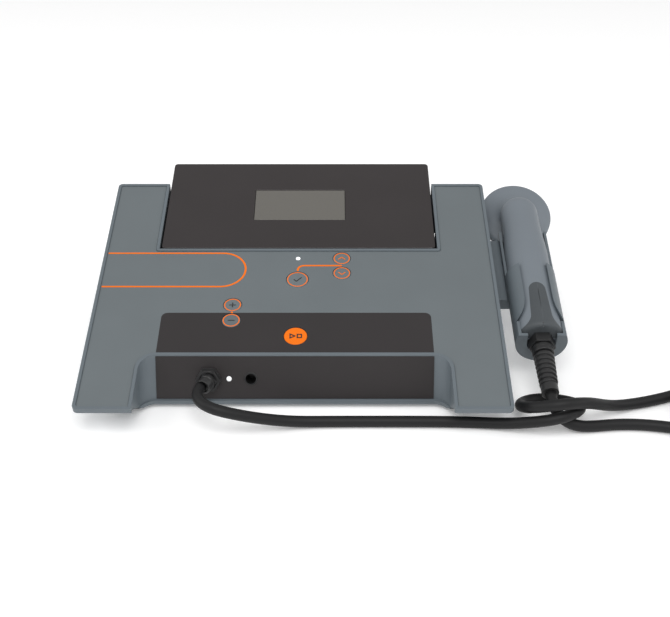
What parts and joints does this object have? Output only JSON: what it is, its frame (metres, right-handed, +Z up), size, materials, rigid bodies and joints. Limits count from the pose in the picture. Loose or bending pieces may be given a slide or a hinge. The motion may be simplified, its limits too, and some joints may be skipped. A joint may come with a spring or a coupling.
{
  "type": "ultrasound therapy device",
  "caption": "Sloping bench console with a keypad, a display and a front connector recess, and a treatment handset on a cable, held in a cradle at the side.",
  "frame": {"origin": "on the bench, under the middle of the object's box without its cable", "axes": "+X to the right as the user sees it, +Y away from the user, +Z up"},
  "size_m": [0.4571, 0.2517, 0.0804],
  "materials": {
    "housing_grey": "fine moulded texture, satin",
    "handset_grey": "satin moulded",
    "overlay_grey": "printed film, satin",
    "label_dark": "printed film, satin",
    "bezel_gloss": "polished",
    "housing_dark": "fine moulded texture",
    "window": "clear window over a grey display",
    "circuit_board": "solder mask with parts",
    "spring_steel": "plated",
    "heat_sink": "extruded",
    "black_plastic": "satin",
    "lamp_white": "diffuse lens",
    "socket_metal": "dark plated",
    "nut_dark": "satin",
    "screw_steel": "zinc plated",
    "fuse_glass": "glass with metal caps",
    "foot_rubber": "matt",
    "key_orange": "printed key, satin",
    "key_grey": "printed key with an orange ring",
    "key_dark": "printed key with an orange ring",
    "grip_rubber": "soft touch",
    "treatment_aluminium": "turned and polished",
    "seal_rubber": "matt",
    "crystal_ceramic": "ceramic disc",
    "relief_rubber": "moulded spiral",
    "cable_rubber": "smooth jacket"
  },
  "bodies": {
    "console": {"top_cover": "housing_grey", "lower_housing": "housing_grey", "panel_overlay": "overlay_grey", "panel_label": "label_dark", "wall_label": "label_dark", "display_bezel": "bezel_gloss", "display_housing": "housing_dark", "display_window": "window", "display_module": "circuit_board", "key_board": "circuit_board", "key_domes": "spring_steel", "main_board": "circuit_board", "generator_board": "circuit_board", "power_supply": "circuit_board", "heat_sink": "heat_sink", "buzzer": "black_plastic", "power_lamp": "lamp_white", "output_lamp": "lamp_white", "output_socket": "socket_metal", "output_socket_nut": "nut_dark", "accessory_jack": "black_plastic", "mains_inlet": "black_plastic", "inlet_screws": "screw_steel", "rocker_frame": "black_plastic", "feet": "foot_rubber", "case_screws": "screw_steel", "board_screws": "screw_steel", "cradle_bracket": "housing_grey", "cradle": "housing_grey", "bracket_screws": "screw_steel", "cable_plug": "black_plastic", "cord_console_run": "cable_rubber", "cord_coil": "cable_rubber", "cord_tie": "black_plastic", "cord_handset_run": "cable_rubber"},
    "start_key": {"start_key": "key_orange"},
    "select_key": {"select_key": "key_grey"},
    "up_key": {"up_key": "key_grey"},
    "down_key": {"down_key": "key_grey"},
    "plus_key": {"plus_key": "key_grey"},
    "minus_key": {"minus_key": "key_dark"},
    "power_rocker": {"power_rocker": "black_plastic"},
    "fuse_drawer": {"fuse_drawer": "black_plastic", "fuses": "fuse_glass"},
    "plug_coupling_nut": {"plug_coupling_nut": "black_plastic"},
    "handset": {"handset_top_shell": "handset_grey", "handset_bottom_shell": "handset_grey", "handset_grip": "grip_rubber", "head_housing": "handset_grey", "treatment_face": "treatment_aluminium", "head_seal": "seal_rubber", "ultrasound_crystal": "crystal_ceramic", "crystal_contact": "spring_steel", "handset_screws": "screw_steel", "gland_body": "black_plastic", "gland_collar": "black_plastic", "strain_relief": "relief_rubber"}
  },
  "joints": [
    {"name": "start_press", "type": "slide", "parent": "console", "child": "start_key", "axis": [0, 0.2588, -0.9659], "range_m": [0, 0.0005], "stiffness_N_per_m": 1500},
    {"name": "select_press", "type": "slide", "parent": "console", "child": "select_key", "axis": [0, 0.2588, -0.9659], "range_m": [0, 0.0005], "stiffness_N_per_m": 1500},
    {"name": "up_press", "type": "slide", "parent": "console", "child": "up_key", "axis": [0, 0.2588, -0.9659], "range_m": [0, 0.0005], "stiffness_N_per_m": 1500},
    {"name": "down_press", "type": "slide", "parent": "console", "child": "down_key", "axis": [0, 0.2588, -0.9659], "range_m": [0, 0.0005], "stiffness_N_per_m": 1500},
    {"name": "plus_press", "type": "slide", "parent": "console", "child": "plus_key", "axis": [0, 0.2588, -0.9659], "range_m": [0, 0.0005], "stiffness_N_per_m": 1500},
    {"name": "minus_press", "type": "slide", "parent": "console", "child": "minus_key", "axis": [0, 0.2588, -0.9659], "range_m": [0, 0.0005], "stiffness_N_per_m": 1500},
    {"name": "rocker_tip", "type": "hinge", "parent": "console", "child": "power_rocker", "pos_m": [-0.04325, 0.08563, 0.027], "axis": [0, 0, -1], "range_deg": [0, 14]},
    {"name": "fuse_drawer_pull", "type": "slide", "parent": "console", "child": "fuse_drawer", "axis": [0, 1, 0], "range_m": [0, 0.013]},
    {"name": "plug_nut_turn", "type": "hinge", "parent": "console", "child": "plug_coupling_nut", "pos_m": [-0.07825, -0.07648, 0.0177], "axis": [0, -0.9455, 0.3256], "range_deg": [0, 90]},
    {"name": "handset_lift", "type": "slide", "parent": "console", "child": "handset", "axis": [0, 0.9659, 0.2588], "range_m": [0, 0.11]}
  ]
}
